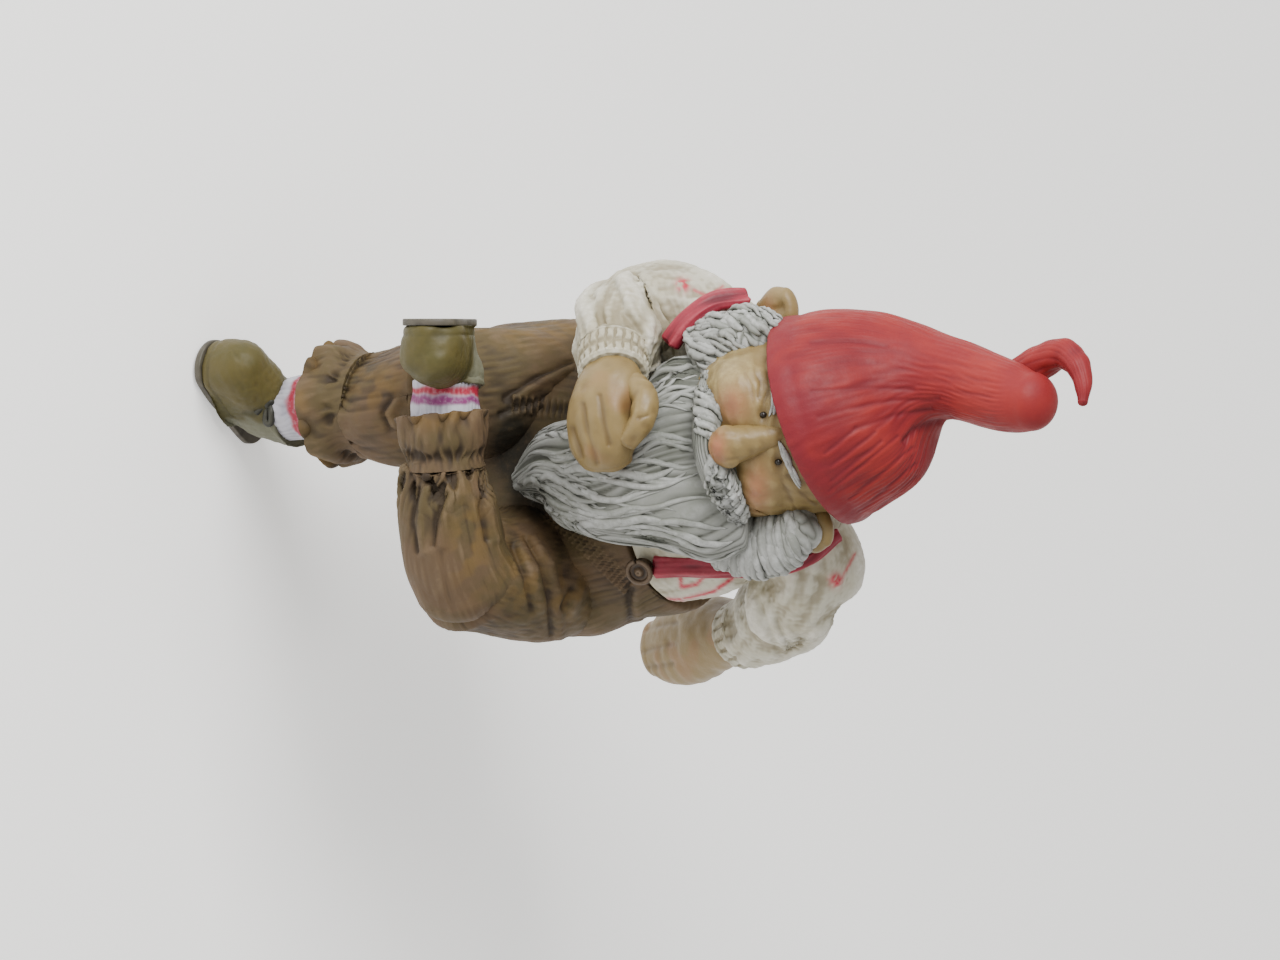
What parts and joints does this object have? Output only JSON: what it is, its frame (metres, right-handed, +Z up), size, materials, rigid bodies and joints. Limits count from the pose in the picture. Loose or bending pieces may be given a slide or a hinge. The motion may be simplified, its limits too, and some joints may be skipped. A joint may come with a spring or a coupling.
{
  "type": "seated gnome figurine",
  "caption": "Painted cast figurine of a bearded gnome in a tall floppy cap, sitting on a shelf edge with one ankle over the other knee and one hand in its beard.",
  "frame": {"origin": "middle of the flat underside of the seat, on the top of the shelf that the figure sits on", "axes": "+Z up, -Y forwards the way the figure faces, +X to the figure's own left"},
  "size_m": [0.0671, 0.0873, 0.148],
  "materials": {
    "cap_red": "matt paint, dry-brushed",
    "skin": "matt paint with a brown wash",
    "eye_black": "satin paint",
    "hair_white": "matt paint with a grey wash",
    "shirt_linen": "matt paint with a brown wash",
    "brace_red": "matt paint",
    "breeches_brown": "matt paint, mottled ochre and umber",
    "button_brown": "matt paint",
    "sock_white": "matt paint with red stripes",
    "boot_green": "satin paint, dry-brushed",
    "sole_brown": "matt paint",
    "lace_dark": "matt paint"
  },
  "bodies": {
    "root": {"hat": "cap_red", "hat_tip": "cap_red", "head": "skin", "nose": "skin", "right_ear": "skin", "left_ear": "skin", "eyes": "eye_black", "eyebrows": "hair_white", "moustache": "hair_white", "right_whiskers": "hair_white", "left_whiskers": "hair_white", "beard": "hair_white", "shirt": "shirt_linen", "right_sleeve": "shirt_linen", "left_sleeve": "shirt_linen", "right_cuff": "shirt_linen", "left_cuff": "shirt_linen", "right_hand": "skin", "right_thumb": "skin", "left_hand": "skin", "right_brace": "brace_red", "left_brace": "brace_red", "brace_button": "button_brown", "breeches_seat": "breeches_brown", "right_thigh": "breeches_brown", "right_knee": "breeches_brown", "left_thigh": "breeches_brown", "left_shin": "breeches_brown", "right_frill": "breeches_brown", "left_frill": "breeches_brown", "right_sock": "sock_white", "left_sock": "sock_white", "right_boot": "boot_green", "left_boot": "boot_green", "right_boot_sole": "sole_brown", "left_boot_sole": "sole_brown", "boot_lace": "lace_dark"}
  },
  "joints": []
}
